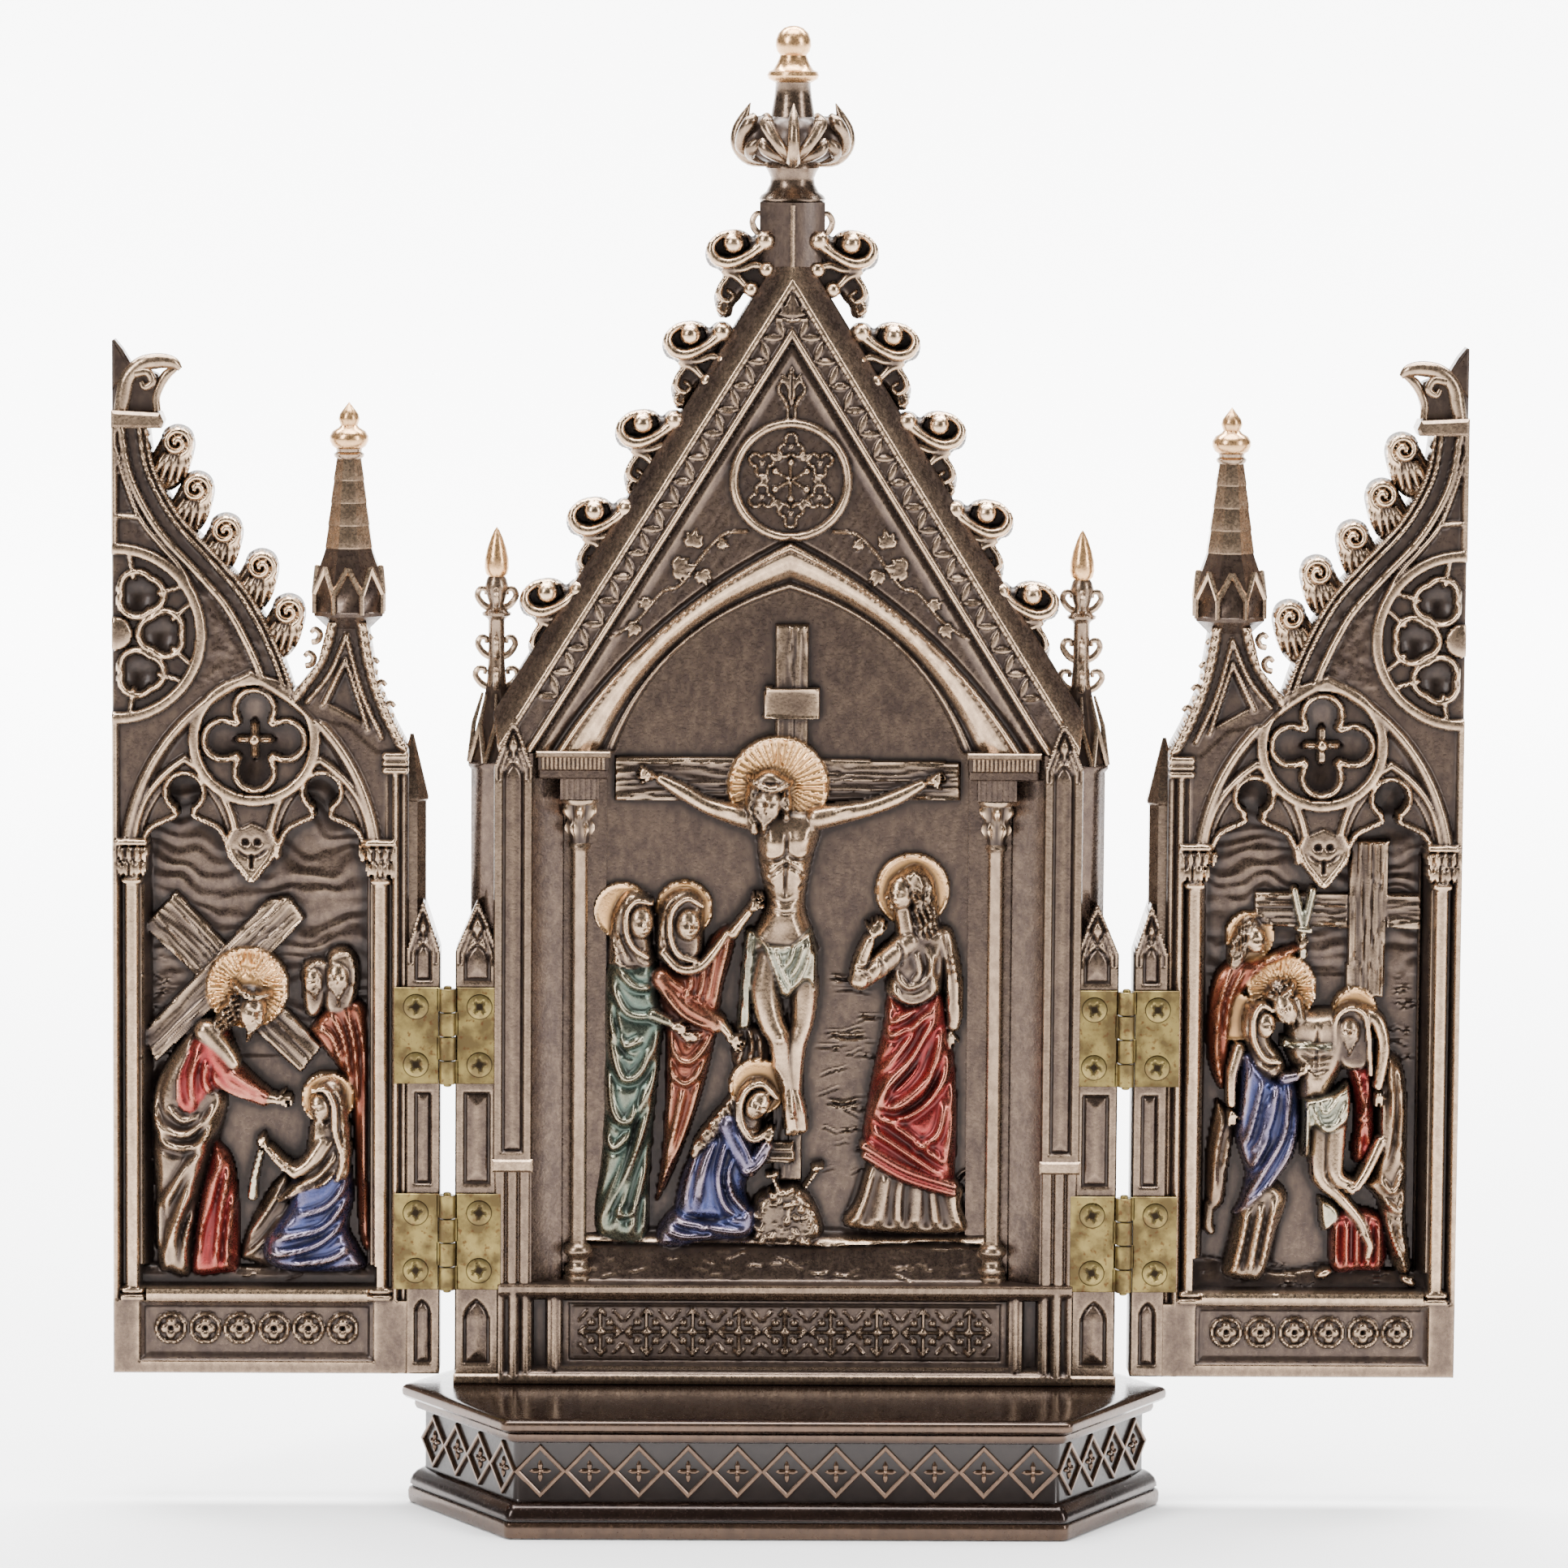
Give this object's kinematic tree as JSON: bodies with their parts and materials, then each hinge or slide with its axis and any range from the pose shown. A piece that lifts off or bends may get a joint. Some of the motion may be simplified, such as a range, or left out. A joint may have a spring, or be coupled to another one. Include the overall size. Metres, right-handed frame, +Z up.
{
  "type": "triptych altarpiece",
  "caption": "Folding gothic devotional altarpiece: a gabled relief panel on a six-sided plinth with two hinged half-gabled wings.",
  "frame": {"origin": "centre of the plinth's underside", "axes": "+Z up, +Y to the back, +X to the viewer's right; the panels' front faces lie in the plane Y = 0"},
  "size_m": [0.2166, 0.06, 0.238],
  "materials": {
    "cast_bronze": "cold-cast bronze, dark brown patina with rubbed highlights and tinted robes",
    "plinth_bronze": "cold-cast bronze, dark glossy brown patina",
    "hinge_brass": "satin brass, slightly tarnished",
    "screw_brass": "satin brass, slightly tarnished"
  },
  "bodies": {
    "stand": {"base_plinth": "plinth_bronze", "centre_panel": "cast_bronze", "hinge_left_upper_fixed_leaf": "hinge_brass", "hinge_left_upper_pin": "hinge_brass", "screw_left_upper_fixed_1": "screw_brass", "screw_left_upper_fixed_2": "screw_brass", "hinge_left_lower_fixed_leaf": "hinge_brass", "hinge_left_lower_pin": "hinge_brass", "screw_left_lower_fixed_1": "screw_brass", "screw_left_lower_fixed_2": "screw_brass", "hinge_right_upper_fixed_leaf": "hinge_brass", "hinge_right_upper_pin": "hinge_brass", "screw_right_upper_fixed_1": "screw_brass", "screw_right_upper_fixed_2": "screw_brass", "hinge_right_lower_fixed_leaf": "hinge_brass", "hinge_right_lower_pin": "hinge_brass", "screw_right_lower_fixed_1": "screw_brass", "screw_right_lower_fixed_2": "screw_brass"},
    "left_wing": {"left_wing": "cast_bronze", "hinge_left_upper_wing_leaf": "hinge_brass", "screw_left_upper_wing_1": "screw_brass", "screw_left_upper_wing_2": "screw_brass", "hinge_left_lower_wing_leaf": "hinge_brass", "screw_left_lower_wing_1": "screw_brass", "screw_left_lower_wing_2": "screw_brass"},
    "right_wing": {"right_wing": "cast_bronze", "hinge_right_upper_wing_leaf": "hinge_brass", "screw_right_upper_wing_1": "screw_brass", "screw_right_upper_wing_2": "screw_brass", "hinge_right_lower_wing_leaf": "hinge_brass", "screw_right_lower_wing_1": "screw_brass", "screw_right_lower_wing_2": "screw_brass"}
  },
  "joints": [
    {"name": "left_wing_hinge", "type": "hinge", "parent": "stand", "child": "left_wing", "pos_m": [-0.0545, -0.00135, 0.05955], "axis": [0, 0, 1], "range_deg": [-10, 177]},
    {"name": "right_wing_hinge", "type": "hinge", "parent": "stand", "child": "right_wing", "pos_m": [0.0545, -0.00135, 0.05955], "axis": [0, 0, -1], "range_deg": [-10, 177]}
  ]
}
